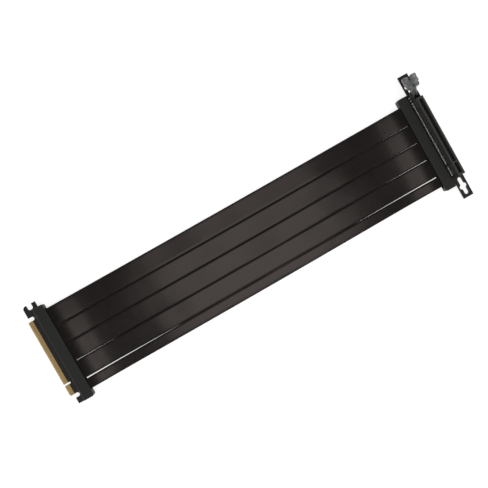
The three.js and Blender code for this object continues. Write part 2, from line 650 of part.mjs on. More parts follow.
// A ceramic capacitor lying across the board, its tinned ends a little prouder than its body
function capacitor(index) {
  const x = socketShellX + (SLOT_FROM_SHELL - SLOT_WIDTH / 2) / 2;
  const y = slotEndY + CAPACITOR_FIRST_PAST_SLOT - index * CAPACITOR_PITCH;
  const l = CAPACITOR_LENGTH / 2;
  const w = CAPACITOR_WIDTH / 2;
  const waist = CAPACITOR_WAIST;
  const middle = l - CAPACITOR_TERMINAL;
  const bodyReach = middle + FUSE_OVERLAP;
  const top = boardTop + CAPACITOR_HEIGHT;
  return joined([
    block(x - l, x - middle, y - w, y + w, boardTop, top),
    block(x - bodyReach, x + bodyReach, y - w + waist, y + w - waist, boardTop, top - waist),
    block(x + middle, x + l, y - w, y + w, boardTop, top),
  ]);
}

// Ribbon strips: a flat section with rounded edges, run along the route

function stripSection(width) {
  const w = width / 2;
  const t = STRIP_THICKNESS / 2;
  const r = STRIP_EDGE_ROUND;
  return shapeOf([
    [-w, r - t], [r - w, -t], [w - r, -t], [w, r - t],
    [w, t - r], [w - r, t], [r - w, t], [-w, t - r],
  ]);
}

function stripPath(strip, layer) {
  const drift = new THREE.SplineCurve(strip.centres.map((centre, place) => (
    new THREE.Vector2(place / 2, centre + layer.shift[place])
  )));
  const points = ribbonRoute.map(([along, lift]) => {
    const share = THREE.MathUtils.clamp(along / RIBBON_SPAN, 0, 1);
    const y = drift.getPoint(share).y;
    return new THREE.Vector3(ribbonStartX + along, y, THREE.MathUtils.lerp(layer.rest, layer.exit, lift));
  });
  return new THREE.CatmullRomCurve3(points);
}

function ribbonStrip(strip, layer) {
  return solidOf(new THREE.ExtrudeGeometry(stripSection(strip.width), {
    steps: STRIP_STEPS, bevelEnabled: false, extrudePath: stripPath(strip, layer),
  }));
}

// The assembly

const mouldedBlack = { color: 0x2b2a29, roughness: 0.55, metalness: 0.0 };
const boardBlack = { color: 0x1c1b1a, roughness: 0.4, metalness: 0.0 };
const foilBlack = { color: 0x2a2624, roughness: 0.35, metalness: 0.1 };
const latchGrey = { color: 0xa3a39e, roughness: 0.5, metalness: 0.0 };
const ceramicTan = { color: 0x9b7b58, roughness: 0.5, metalness: 0.0 };

const group = new THREE.Group();

function addPart(name, solid, look) {
  const mesh = new THREE.Mesh(geometryOf(solid), new THREE.MeshStandardMaterial(look));
  mesh.name = name;
  group.add(mesh);
}

addPart('plug_board', plugBoard(), boardBlack);
addPart('plug_shell_top', shellHalf(plugShellX, plugY, -1, true), mouldedBlack);
addPart('plug_shell_bottom', shellHalf(plugShellX, plugY, -1, false), mouldedBlack);
addPart('socket_board', socketBoard(), boardBlack);
addPart('socket_shell_top', shellHalf(socketShellX, socketY, 1, true), mouldedBlack);
addPart('socket_shell_bottom', shellHalf(socketShellX, socketY, 1, false), mouldedBlack);
addPart('slot_housing', slotHousing(), mouldedBlack);
addPart('retention_latch', retentionLatch(), latchGrey);
for (let i = 0; i < CAPACITOR_COUNT; i++) {
  addPart(`capacitor_${i + 1}`, capacitor(i), ceramicTan);
}
for (const layer of layers) {
  for (const strip of strips) {
    addPart(`${layer.name}_${strip.name}`, ribbonStrip(strip, layer), foilBlack);
  }
}

export default group;
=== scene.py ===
"""A graphics card riser cable laid flat: camera, ribbon, plug, socket, latch and stage."""

import math

import bmesh
import bpy
from bpy.props import FloatProperty, FloatVectorProperty, IntProperty, PointerProperty
from mathutils import Euler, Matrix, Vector, noise


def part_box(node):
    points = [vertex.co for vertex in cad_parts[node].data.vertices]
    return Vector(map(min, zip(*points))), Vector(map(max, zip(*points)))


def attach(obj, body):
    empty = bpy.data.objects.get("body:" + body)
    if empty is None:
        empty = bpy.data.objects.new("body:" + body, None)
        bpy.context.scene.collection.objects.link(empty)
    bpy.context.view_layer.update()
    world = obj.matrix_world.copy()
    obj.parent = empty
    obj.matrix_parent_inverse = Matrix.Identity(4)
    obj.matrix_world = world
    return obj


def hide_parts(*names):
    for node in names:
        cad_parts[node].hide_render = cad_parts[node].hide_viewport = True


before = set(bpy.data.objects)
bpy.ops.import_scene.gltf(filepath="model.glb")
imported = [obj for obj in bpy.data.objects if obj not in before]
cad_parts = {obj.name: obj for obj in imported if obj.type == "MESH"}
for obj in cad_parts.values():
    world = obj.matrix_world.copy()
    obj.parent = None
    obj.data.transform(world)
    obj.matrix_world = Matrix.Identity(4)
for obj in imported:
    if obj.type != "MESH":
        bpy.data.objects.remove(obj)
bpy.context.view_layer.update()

bl_info = {
    "name": "Riser cable",
    "version": (1, 0, 0),
    "blender": (4, 5, 0),
    "location": "View3D > Sidebar > Riser",
    "description": "Dresses a graphics card riser cable, piece by piece",
    "category": "Object",
}

MM = 0.001

# Places taken from the frame
PLUG_EDGE_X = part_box("plug_board")[0][0]
SOCKET_LOW, SOCKET_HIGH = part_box("socket_board")
SLOT_LOW, SLOT_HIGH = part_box("slot_housing")
SLOT_X = (SLOT_LOW[0] + SLOT_HIGH[0]) / 2
LATCH_LOW, LATCH_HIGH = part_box("retention_latch")
BOARD_TOP = SOCKET_HIGH[2]
BOARD_BOTTOM = SOCKET_LOW[2]
BOARD_MIDDLE = (BOARD_TOP + BOARD_BOTTOM) / 2

# Card edge interface
LONG_ROW_CONTACTS = 71
SHORT_ROW_CONTACTS = 11
CONTACT_PITCH = 1.0 * MM
KEY_TO_FIRST_CONTACT = 1.5 * MM
PLUG_KEY_Y = -34.1 * MM
SOCKET_KEY_Y = -31.8 * MM

# Ribbon: where the strips leave the plug shell, and their route from there. Each point is a
# distance along and how far up the strip still is, from 0 at rest to 1 at the shell's mouth.
RIBBON_START_X = -0.2076
RIBBON_SPAN = 0.411
RIBBON_ROUTE = [
    (-0.0075, 1), (-0.003, 0.995), (0.004, 0.98), (0.011, 0.84), (0.020, 0.55), (0.031, 0.26),
    (0.045, 0.09), (0.064, 0.01), (0.095, 0), (0.135, 0), (0.175, 0), (0.2055, 0), (0.236, 0),
    (0.276, 0), (0.316, 0), (0.347, 0.01), (0.366, 0.09), (0.380, 0.26), (0.391, 0.55),
    (0.400, 0.84), (0.407, 0.98), (0.414, 1), (0.4185, 1),
]
STEPS_PER_STRETCH = 6
# Each layer: name, resting height, height at the shells, shift aside at the plug, midway and at the
# socket, and share of the waviness
RIBBON_LAYERS = [
    ("upper", 0.0020, 0.005635, (0, 0, 0), 1.0),
    ("lower", 0.0006, 0.002365, (-0.00045, -0.0012, -0.00025), 0.0),
]
# Each strip: name, width, and its centre line's y at the plug, midway and at the socket
LANE_WIDTH = 0.0196
POWER_WIDTH = 0.0108
RIBBON_STRIPS = [
    ("lane_strip_1", LANE_WIDTH, (0.03243, 0.0324, 0.03307)),
    ("lane_strip_2", LANE_WIDTH, (0.01233, 0.0124, 0.01307)),
    ("lane_strip_3", LANE_WIDTH, (-0.00758, -0.0077, -0.00683)),
    ("lane_strip_4", LANE_WIDTH, (-0.02773, -0.0277, -0.02681)),
    ("power_strip", POWER_WIDTH, (-0.04423, -0.0433, -0.04287)),
]
STRIP_PLACE = "strip_place"
# Each point across the edge of a strip: how far in from the rim, and the half thickness there as a
# share of the sealed margin's, for the rounded rim
RIM_POINTS = [(0, 0), (0.04 * MM, 0.55), (0.12 * MM, 0.85), (0.25 * MM, 1)]
BED_COLUMNS = 10
# How the resting ribbon waves: noise steps per metre along it, how far from the middle the waves have
# died out, and the noise rows that keep strips apart from each other and a strip's tilt from its rise
RISES_PER_METRE = 36
TILTS_PER_METRE = 24
WAVES_END_X = 0.15
STRIP_NOISE_STEP = 7.3
RISE_ROW = 0
TILT_ROW = 5

# Outlines in millimetres, outward from the slot's wall or a capacitor's end and up from the board
TAIL_OUTLINE = [
    (-0.05, 0.82), (0.12, 0.80), (0.24, 0.68), (0.36, 0.22), (0.80, 0.17),
    (0.80, 0.02), (0.26, 0.02), (0.14, 0.56), (0.07, 0.64), (-0.05, 0.66),
]
PAD_OUTLINE = [(0.05, -0.01), (0.05, 0.035), (0.98, 0.035), (0.98, -0.01)]
PAD_TO_TAIL_WIDTH = 1.36
FILLET_OUTLINE = [(-0.02, -0.01), (-0.02, 0.5), (0.1, 0.22), (0.36, 0.06), (0.5, -0.01)]
FILLET_OVERHANG = 0.08 * MM

# Edges, stage and camera
WELD_DISTANCE = 0.001 * MM
BEVEL_SEGMENTS = 2
BEVEL_ANGLE = math.radians(30)
CAPACITOR_EDGE = 0.08 * MM
FLOOR_DROP = 0.02 * MM
FLOOR_REACH = 3.0
NEAR_CLIP = 0.01


# Settings


class CameraSettings(bpy.types.PropertyGroup):
    """Where the camera stands over the cable."""

    place: FloatVectorProperty(
        name="Place", description="Where the camera stands",
        default=(-0.018465, 0.013983, 0.573705), unit="LENGTH", subtype="XYZ",
    )
    turn: FloatVectorProperty(
        name="Turn", description="How the camera is turned from looking straight down",
        default=tuple(math.radians(angle) for angle in (-0.3907, -2.0261, -29.5366)), subtype="EULER",
    )
    lens: FloatProperty(name="Lens", description="Focal length in millimetres", default=41.49, min=1)


class RibbonSettings(bpy.types.PropertyGroup):
    """The shielded strips of the cable."""

    thickness: FloatProperty(
        name="Thickness", description="Thickness of a strip over its conductors",
        default=1.1 * MM, unit="LENGTH",
    )
    margin: FloatProperty(
        name="Sealed margin", description="Width of the thin sealed margin along each edge",
        default=0.9 * MM, unit="LENGTH",
    )
    margin_thickness: FloatProperty(
        name="Margin thickness", description="Thickness of the sealed margin",
        default=0.62 * MM, unit="LENGTH",
    )
    waviness: FloatProperty(
        name="Waviness", description="How far the upper layer lifts and tilts as it lies",
        default=0.42 * MM, unit="LENGTH",
    )
    cupping: FloatProperty(
        name="Cupping", description="How far a strip's middle sinks below its sides",
        default=0.1 * MM, unit="LENGTH",
    )
    film: FloatVectorProperty(
        name="Film", description="Colour of the wrapping film", subtype="COLOR",
        default=(0.0026, 0.0023, 0.0020), min=0, max=1,
    )
    roughness: FloatProperty(
        name="Roughness", description="Roughness of the film", default=0.19, subtype="FACTOR", min=0, max=1,
    )


class ShellSettings(bpy.types.PropertyGroup):
    """The moulded shells at both ends."""

    edge: FloatProperty(
        name="Edge", description="Rounding of the moulded edges", default=0.3 * MM, unit="LENGTH",
    )
    moulding: FloatVectorProperty(
        name="Moulding", description="Colour of the moulding", subtype="COLOR",
        default=(0.0042, 0.0038, 0.0032), min=0, max=1,
    )


class BoardSettings(bpy.types.PropertyGroup):
    """The two circuit boards and their plating."""

    mask: FloatVectorProperty(
        name="Mask", description="Colour of the solder mask", subtype="COLOR",
        default=(0.0050, 0.0036, 0.0026), min=0, max=1,
    )
    laminate: FloatVectorProperty(
        name="Laminate", description="Colour of the laminate on cut edges", subtype="COLOR",
        default=(0.085, 0.062, 0.032), min=0, max=1,
    )
    gold: FloatVectorProperty(
        name="Gold", description="Colour of the gold plating", subtype="COLOR",
        default=(0.78, 0.53, 0.22), min=0, max=1,
    )
    finger_width: FloatProperty(
        name="Finger width", description="Width of a gold finger", default=0.7 * MM, unit="LENGTH",
    )
    finger_end: FloatProperty(
        name="Finger end", description="How far back the fingers reach", default=5.12 * MM, unit="LENGTH",
    )


class SlotSettings(bpy.types.PropertyGroup):
    """The card slot, its contacts and their tails."""

    moulding: FloatVectorProperty(
        name="Moulding", description="Colour of the slot's moulding", subtype="COLOR",
        default=(0.026, 0.026, 0.025), min=0, max=1,
    )
    tin: FloatVectorProperty(
        name="Tin", description="Colour of the tinned tails and solder", subtype="COLOR",
        default=(0.62, 0.61, 0.58), min=0, max=1,
    )
    tail_width: FloatProperty(
        name="Tail width", description="Width of a contact's tail", default=0.4 * MM, unit="LENGTH",
    )


class LatchSettings(bpy.types.PropertyGroup):
    """The retention latch."""

    edge: FloatProperty(
        name="Edge", description="Rounding of the latch's edges", default=0.35 * MM, unit="LENGTH",
    )
    moulding: FloatVectorProperty(
        name="Moulding", description="Colour of the latch", subtype="COLOR",
        default=(0.25, 0.262, 0.254), min=0, max=1,
    )


class CapacitorSettings(bpy.types.PropertyGroup):
    """The small capacitors on the socket board."""

    count: IntProperty(name="Count", description="How many capacitors there are", default=4, min=1)
    ceramic: FloatVectorProperty(
        name="Ceramic", description="Colour of the ceramic body", subtype="COLOR",
        default=(0.30, 0.26, 0.21), min=0, max=1,
    )


class StageSettings(bpy.types.PropertyGroup):
    """The pale floor and the soft light."""

    floor: FloatVectorProperty(
        name="Floor", description="Colour of the floor as a source of bounced light", subtype="COLOR",
        default=(0.86, 0.86, 0.86), min=0, max=1,
    )
    floor_glow: FloatProperty(
        name="Floor glow", description="How bright the floor shows where no light falls", default=0.75, min=0,
    )
    floor_shade: FloatProperty(
        name="Floor shade", description="How much falling light and shadow show on the floor", default=0.35,
        min=0, max=1,
    )
    overhead: FloatProperty(
        name="Overhead", description="Power of the overhead lamp", default=4.9, unit="POWER",
    )
    lamp_place: FloatVectorProperty(
        name="Lamp place", description="Where the overhead lamp hangs", default=(0.025, -0.28, 1.2),
        unit="LENGTH", subtype="XYZ",
    )
    lamp_width: FloatProperty(
        name="Lamp width", description="Size of the lamp along x", default=0.68, unit="LENGTH",
    )
    lamp_depth: FloatProperty(
        name="Lamp depth", description="Size of the lamp along y", default=0.8, unit="LENGTH",
    )
    sky_low: FloatProperty(name="Low light", description="Light from near the horizon", default=1.1, min=0)
    sky_high: FloatProperty(name="High light", description="Light from straight above", default=0.22, min=0)


# Shader maths


class Value:
    """A socket of a material, with arithmetic that adds Math nodes."""

    def __init__(self, finish, socket):
        self.finish = finish
        self.socket = socket

    def math(self, operation, *inputs):
        return self.finish.node("ShaderNodeMath", {"operation": operation}, dict(enumerate(inputs)))

    def __add__(self, other):
        return self.math("ADD", self, other)

    __radd__ = __add__

    def __sub__(self, other):
        return self.math("SUBTRACT", self, other)

    def __rsub__(self, other):
        return self.math("SUBTRACT", other, self)

    def __mul__(self, other):
        return self.math("MULTIPLY", self, other)

    __rmul__ = __mul__

    def __truediv__(self, other):
        return self.math("DIVIDE", self, other)

    def __abs__(self):
        return self.math("ABSOLUTE", self)

    def at_least(self, other):
        return self.math("MAXIMUM", self, other)

    def sine(self):
        return self.math("SINE", self)

    def root(self):
        return self.math("SQRT", self)

    def fraction(self):
        return self.math("FRACT", self)

    def between(self, low, high):
        """0 at low and 1 at high, smooth in between; low may be the greater."""
        return self.finish.node(
            "ShaderNodeMapRange", {"interpolation_type": "SMOOTHSTEP"},
            {"Value": self, "From Min": low, "From Max": high},
        )


class Finish:
    """A node tree under construction."""

    def __init__(self, tree):
        self.tree = tree
        self.tree.nodes.clear()

    def node(self, kind, settings=None, inputs=None, output=0):
        """Adds one node: its settings first, then the values or links of its sockets."""
        node = self.tree.nodes.new(kind)
        for name, value in (settings or {}).items():
            setattr(node, name, value)
        for name, value in (inputs or {}).items():
            if isinstance(value, Value):
                self.tree.links.new(value.socket, node.inputs[name])
            else:
                node.inputs[name].default_value = value
        return Value(self, node.outputs[output] if len(node.outputs) else None)

    def place(self):
        """The object's own x, y and z, in metres."""
        where = self.node("ShaderNodeTexCoord", output="Object")
        return [self.node("ShaderNodeSeparateXYZ", None, {0: where}, axis) for axis in "XYZ"]

    def upward(self):
        """How far the surface faces up, from -1 to 1, in the object's own frame."""
        normal = self.node("ShaderNodeTexCoord", output="Normal")
        return self.node("ShaderNodeSeparateXYZ", None, {0: normal}, "Z")

    def noise(self, per_metre, detail=2.0, roughness=0.5, stretch=(1.0, 1.0, 1.0)):
        """Noise from 0 to 1 over the object's own place; a low stretch draws it out along that axis."""
        where = self.node("ShaderNodeTexCoord", output="Object")
        scaled = self.node("ShaderNodeVectorMath", {"operation": "MULTIPLY"}, {0: where, 1: stretch})
        return self.node(
            "ShaderNodeTexNoise", None,
            {"Vector": scaled, "Scale": per_metre, "Detail": detail, "Roughness": roughness}, "Fac",
        )

    def wave(self, place, period):
        """A sine wave along a place, from -1 to 1."""
        return (place * (2 * math.pi / period)).sine()

    def blend(self, factor, first, second):
        """A colour that goes from first to second as factor goes from 0 to 1."""
        colours = {6: opaque(first), 7: opaque(second)}
        return self.node("ShaderNodeMix", {"data_type": "RGBA"}, {0: factor, **colours}, 2)

    def mottled(self, clouds, colour, darkest, lightest):
        """A colour that clouds vary between two multiples of it."""
        return self.blend(clouds, tinted(colour, darkest), tinted(colour, lightest))

    def bump(self, height, depth):
        return self.node("ShaderNodeBump", None, {"Height": height, "Distance": depth, "Strength": 1.0})

    def surface(self, **sockets):
        """The shader and the output; a socket's name is written with underscores."""
        named = {}
        for name, value in sockets.items():
            named[name.replace("_", " ").title().replace("Ior", "IOR")] = value
        shader = self.node("ShaderNodeBsdfPrincipled", None, named)
        self.node("ShaderNodeOutputMaterial", None, {"Surface": shader})


def opaque(colour):
    return colour if isinstance(colour, Value) or len(colour) == 4 else (*colour, 1.0)


def tinted(colour, factor):
    return tuple(min(1.0, channel * factor) for channel in colour)


def new_finish(name):
    material = bpy.data.materials.new(name)
    material.use_nodes = True
    return material, Finish(material.node_tree)


def film_finish(settings):
    """Semi-gloss wrapping film that shows the conductor pairs under it as faint lengthwise ridges."""
    material, finish = new_finish("wrapping_film")
    strip = finish.node("ShaderNodeAttribute", {"attribute_name": STRIP_PLACE}, output="Vector")
    across = finish.node("ShaderNodeSeparateXYZ", None, {0: strip}, "Y")
    ridges = finish.wave(across, period=1.55 * MM)
    grain = finish.noise(per_metre=900, detail=3, roughness=0.6, stretch=(0.25, 1, 1))
    clouds = finish.noise(per_metre=22)
    fibres = finish.noise(per_metre=2600, stretch=(0.04, 1, 1))
    creases = finish.noise(per_metre=60, detail=1, roughness=0.4, stretch=(1, 0.35, 1))
    height = ridges * 0.35 + grain * 0.5 + fibres * 0.35 + creases * 2.2
    finish.surface(
        base_color=finish.mottled(clouds, settings.film, darkest=0.6, lightest=1.6),
        roughness=settings.roughness + (grain - 0.5) * 0.1 + (clouds - 0.5) * 0.08,
        specular_ior_level=0.27,
        specular_tint=(1.0, 0.86, 0.81, 1.0),
        normal=finish.bump(height, depth=0.03 * MM),
    )
    return material


def moulded_finish(settings):
    """Moulded plastic with a fine eroded grain."""
    material, finish = new_finish("shell_moulding")
    grain = finish.noise(per_metre=4200, detail=3, roughness=0.6)
    clouds = finish.noise(per_metre=70)
    finish.surface(
        base_color=finish.mottled(clouds, settings.moulding, darkest=0.85, lightest=1.2),
        roughness=0.4 + grain * 0.12,
        specular_ior_level=0.35,
        normal=finish.bump(grain, depth=0.02 * MM),
    )
    return material


def slot_ring(finish, x, y, slot_y, half_length, radius):
    """Distance from the edge of the round-ended slot that runs along y through an ear of the board."""
    past_end = (abs(y - slot_y) - half_length).at_least(0)
    aside = x - SLOT_X
    return (past_end * past_end + aside * aside).root() - radius


def board_finish(settings):
    """Solder mask over copper on the faces, and bare layered laminate on the cut edges."""
    material, finish = new_finish("board")
    x, y, z = finish.place()
    face = abs(finish.upward()).between(0.4, 0.7)
    ear_slot_radius = 2.2 * MM
    ear_slot_half = 9.5 * MM
    ear_slot_margin = 3.0 * MM
    ear_slot_middle = ear_slot_margin + ear_slot_half
    ring_width = 0.9 * MM
    ring_tone = (0.060, 0.034, 0.018)
    ring_cover = 0.75
    rings = []
    for slot_y in (SOCKET_LOW[1] + ear_slot_middle, SOCKET_HIGH[1] - ear_slot_middle):
        distance = slot_ring(finish, x, y, slot_y, ear_slot_half - ear_slot_radius, ear_slot_radius)
        rings.append(distance.between(ring_width, ring_width * 0.6))
    rim = rings[0].at_least(rings[1])
    weave = finish.wave(x, period=0.9 * MM) * finish.wave(y, period=0.9 * MM)
    clouds = finish.noise(per_metre=120)
    traces = finish.wave(y, period=0.5 * MM).between(-0.2, 0.5)
    layers = finish.wave(z, period=0.26 * MM) * 0.5 + 0.5
    masked = finish.mottled(clouds, settings.mask, darkest=0.8, lightest=1.3)
    rimmed = finish.blend(rim * ring_cover, masked, ring_tone)
    cut = finish.mottled(layers, settings.laminate, darkest=0.6, lightest=1)
    height = weave * 0.25 + traces * 0.5 + rim
    finish.surface(
        base_color=finish.blend(face, cut, rimmed),
        roughness=0.72 - face * 0.34 + clouds * 0.06,
        specular_ior_level=0.35,
        normal=finish.bump(height, depth=0.012 * MM),
    )
    return material


def gold_finish(settings):
    """Hard gold plating with fine wiping marks along the card's travel."""
    material, finish = new_finish("gold_plating")
    wipes = finish.noise(per_metre=5200, stretch=(0.06, 1, 1))
    clouds = finish.noise(per_metre=400)
    finish.surface(
        base_color=finish.mottled(clouds, settings.gold, darkest=0.85, lightest=1),
        metallic=1.0,
        roughness=0.24 + wipes * 0.16,
        normal=finish.bump(wipes, depth=0.006 * MM),
    )
    return material


def tin_finish(settings):
    """Tinned metal and solder."""
    material, finish = new_finish("tin")
    clouds = finish.noise(per_metre=1800, roughness=0.6)
    finish.surface(
        base_color=finish.mottled(clouds, settings.tin, darkest=0.8, lightest=1),
        metallic=1.0,
        roughness=0.26 + clouds * 0.2,
        normal=finish.bump(clouds, depth=0.02 * MM),
    )
    return material


def slot_finish(settings, gold):
    """Glass-filled slot moulding, with gold on the sprung contacts inside its chambers."""
    material, finish = new_finish("slot_moulding")
    x, y, z = finish.place()
    contact_half_width = 0.215 * MM / CONTACT_PITCH
    contact_reach = 2.08 * MM
    contact_foot, contact_shoulder, contact_tip = 8.0 * MM, 13.2 * MM, 14.0 * MM
    side_blur = 0.02 * MM / CONTACT_PITCH
    reach_blur, foot_blur, row_blur = 0.04 * MM, 0.05 * MM, 0.1 * MM
    step = ((y - SOCKET_KEY_Y) / CONTACT_PITCH).fraction() - 0.5
    on_pitch = abs(step).between(contact_half_width + side_blur, contact_half_width)
    inside = abs(x - SLOT_X).between(contact_reach + reach_blur, contact_reach)
    above = z.between(contact_foot - foot_blur, contact_foot)
    below = z.between(contact_tip, contact_shoulder)
    first = SOCKET_KEY_Y + min(contact_places()) - CONTACT_PITCH / 2
    last = SOCKET_KEY_Y + max(contact_places()) + CONTACT_PITCH / 2
    in_row = y.between(first, first + row_blur) * y.between(last, last - row_blur)
    contact = on_pitch * inside * above * below * in_row
    grain = finish.noise(per_metre=3400, detail=3, roughness=0.65)
    fibres = finish.noise(per_metre=1500, roughness=0.6, stretch=(1, 0.2, 1))
    plastic = finish.mottled(fibres, settings.moulding, darkest=0.8, lightest=1.3)
    in_shade = tinted(gold, 0.4)
    finish.surface(
        base_color=finish.blend(contact, plastic, in_shade),
        metallic=contact,
        roughness=0.5 + grain * 0.14 - contact * 0.25,
        specular_ior_level=0.35,
        normal=finish.bump(grain, depth=0.015 * MM),
    )
    return material


def latch_finish(settings):
    """Milky see-through latch plastic, dulled by handling toward its thumb end."""
    material, finish = new_finish("latch_plastic")
    grain = finish.noise(per_metre=3800, detail=3, roughness=0.6)
    clouds = finish.noise(per_metre=260).between(0.38, 0.62)
    wear = finish.place()[1].between(LATCH_LOW[1], LATCH_HIGH[1])
    finish.surface(
        base_color=finish.mottled(clouds, settings.moulding, darkest=0.5, lightest=1.1),
        roughness=0.16 + grain * 0.12 + wear * clouds * 0.14,
        transmission_weight=0.62,
        ior=1.42,
        normal=finish.bump(grain, depth=0.012 * MM),
    )
    return material


def capacitor_finish(settings, tin):
    """Ceramic body between two tinned terminals."""
    material, finish = new_finish("capacitor")
    low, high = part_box("capacitor_1")
    terminal = 0.5 * MM
    blur = 0.02 * MM
    middle = (low[0] + high[0]) / 2
    body_half = (high[0] - low[0]) / 2 - terminal
    x = finish.place()[0]
    metal = abs(x - middle).between(body_half - blur, body_half + blur)
    speckle = finish.noise(per_metre=5000, roughness=0.6)
    ceramic = finish.mottled(speckle, settings.ceramic, darkest=0.8, lightest=1.15)
    finish.surface(
        base_color=finish.blend(metal, ceramic, tin),
        metallic=metal,
        roughness=0.45 - metal * 0.15 + speckle * 0.1,
        normal=finish.bump(speckle, depth=0.01 * MM),
    )
    return material


# Shapes


def new_piece(name, mesh, material, smooth=False):
    for face in mesh.polygons:
        face.use_smooth = smooth
    piece = bpy.data.objects.new(name, mesh)
    piece.data.materials.append(material)
    bpy.context.scene.collection.objects.link(piece)
    return piece


def mesh_of(name, work):
    bmesh.ops.recalc_face_normals(work, faces=work.faces)
    mesh = bpy.data.meshes.new(name)
    work.to_mesh(mesh)
    work.free()
    return mesh


def add_bar(work, profile, start, end):
    """A bar whose x and z outline is given, from one y to another."""
    near = [work.verts.new((x, start, z)) for x, z in profile]
    far = [work.verts.new((x, end, z)) for x, z in profile]
    work.faces.new(near)
    work.faces.new(far[::-1])
    for i, corner in enumerate(near):
        j = (i + 1) % len(near)
        work.faces.new((corner, far[i], far[j], near[j]))


def round_edges(piece, width):
    weld = piece.modifiers.new("weld", "WELD")
    weld.merge_threshold = WELD_DISTANCE
    bevel = piece.modifiers.new("bevel", "BEVEL")
    bevel.width = width
    bevel.segments = BEVEL_SEGMENTS
    bevel.limit_method = "ANGLE"
    bevel.angle_limit = BEVEL_ANGLE
    bevel.harden_normals = True


def finish_node(name, material):
    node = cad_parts[name]
    node.data.materials.clear()
    node.data.materials.append(material)
    return node


def contact_places():
    """Where each contact stands along y, counted from the key."""
    long_row = [KEY_TO_FIRST_CONTACT + i * CONTACT_PITCH for i in range(LONG_ROW_CONTACTS)]
    short_row = [-KEY_TO_FIRST_CONTACT - i * CONTACT_PITCH for i in range(SHORT_ROW_CONTACTS)]
    return long_row + short_row


def smooth_through(points, place):
    """The point at a place from 0 to 1 on a smooth curve through the given tuples."""
    stretch = min(int(place * (len(points) - 1)), len(points) - 2)
    t = place * (len(points) - 1) - stretch
    before, start, end, after = [
        points[max(0, min(len(points) - 1, stretch + offset))] for offset in (-1, 0, 1, 2)
    ]
    return tuple(
        0.5 * (2 * b + (c - a) * t + (2 * a - 5 * b + 4 * c - d) * t * t + (3 * b - a - 3 * c + d) * t ** 3)
        for a, b, c, d in zip(before, start, end, after)
    )


def strip_route(centres, resting, leaving, shift):
    """The centre line of one strip, as points in metres."""
    steps = (len(RIBBON_ROUTE) - 1) * STEPS_PER_STRETCH
    aside = [(centre + offset,) for centre, offset in zip(centres, shift)]
    route = []
    for step in range(steps + 1):
        along, lift = smooth_through(RIBBON_ROUTE, step / steps)
        share = max(0.0, min(1.0, along / RIBBON_SPAN))
        y = smooth_through(aside, share)[0]
        route.append(Vector((RIBBON_START_X + along, y, resting + lift * (leaving - resting))))
    return route


def strip_columns(width, settings):
    """Places across a strip, each with its half thickness.

    From each side in: the rounded rim, the thin sealed margin, the rise past it, and the conductor bed.
    """
    thin, full = settings.margin_thickness / 2, settings.thickness / 2
    margin = settings.margin
    rim = [(place, thin * share) for place, share in RIM_POINTS]
    rise = [
        (margin, thin), (margin * 1.25, thin + (full - thin) * 0.35), (margin * 1.6, full * 0.96),
        (margin * 2.1, full),
    ]
    inner = rise[-1][0]
    bed = [(inner + (width - 2 * inner) * i / BED_COLUMNS, full) for i in range(1, BED_COLUMNS)]
    mirrored = [(width - place, half) for place, half in reversed(rim + rise)]
    return [(place - width / 2, half) for place, half in rim + rise + bed + mirrored]


def strip_mesh(name, route, columns, waviness, cupping, seed):
    """A flat strip along its route. The place along and across goes into an attribute for the film."""
    work = bmesh.new()
    place_layer = work.verts.layers.float_vector.new(STRIP_PLACE)
    last = len(columns) - 1
    half_width = columns[last][0]
    outline = [(*column, 1) for column in columns] + [(*column, -1) for column in reversed(columns[1:last])]
    rings = []
    along = 0.0
    for index, centre in enumerate(route):
        ahead = route[min(index + 1, len(route) - 1)] - route[max(index - 1, 0)]
        up = Vector((-ahead.z, 0, ahead.x)).normalized()
        along += (centre - route[index - 1]).length if index else 0.0
        resting = min(1.0, 2 * max(0.0, 1 - abs(centre.x) / WAVES_END_X))
        swell = waviness * resting
        lift = swell * (0.5 + noise.noise(Vector((centre.x * RISES_PER_METRE, seed, RISE_ROW))))
        tilt = swell * noise.noise(Vector((centre.x * TILTS_PER_METRE, seed, TILT_ROW))) / half_width
        ring = []
        for across, half, side in outline:
            sink = cupping * (1 - (across / half_width) ** 2) * resting
            height = side * half + lift + tilt * across - sink
            vert = work.verts.new(centre + Vector((0, across, 0)) + up * height)
            vert[place_layer] = (along, across, 0)
            ring.append(vert)
        rings.append(ring)
    for first, second in zip(rings, rings[1:]):
        for i, vert in enumerate(first):
            j = (i + 1) % len(first)
            work.faces.new((vert, second[i], second[j], first[j]))
    work.faces.new(rings[0])
    work.faces.new(rings[-1][::-1])
    return mesh_of(name, work)


# Operators, one for each piece or group of like pieces


class RISER_OT_camera(bpy.types.Operator):
    """Sets up the camera over the cable"""

    bl_idname = "riser.camera"
    bl_label = "Camera"

    def execute(self, context):
        settings = context.scene.riser_camera
        data = bpy.data.cameras.new("camera")
        data.lens = settings.lens
        data.clip_start = NEAR_CLIP
        camera = bpy.data.objects.new("camera", data)
        camera.location = settings.place
        camera.rotation_euler = Euler(settings.turn)
        context.scene.collection.objects.link(camera)
        context.scene.camera = camera
        return {"FINISHED"}


class RISER_OT_ribbon(bpy.types.Operator):
    """Lays the two layers of shielded strips, each one a flat cord from shell to shell"""

    bl_idname = "riser.ribbon"
    bl_label = "Ribbon strips"

    def execute(self, context):
        settings = context.scene.riser_ribbon
        film = film_finish(settings)
        for layer, resting, leaving, shift, wave in RIBBON_LAYERS:
            for index, (name, width, centres) in enumerate(RIBBON_STRIPS):
                route = strip_route(centres, resting, leaving, shift)
                columns = strip_columns(width, settings)
                piece_name = f"{layer}_{name}_film"
                mesh = strip_mesh(
                    piece_name, route, columns, settings.waviness * wave, settings.cupping * wave,
                    index * STRIP_NOISE_STEP,
                )
                strip = new_piece(piece_name, mesh, film, smooth=True)
                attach(strip, "riser")
                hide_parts(f"{layer}_{name}")
        return {"FINISHED"}


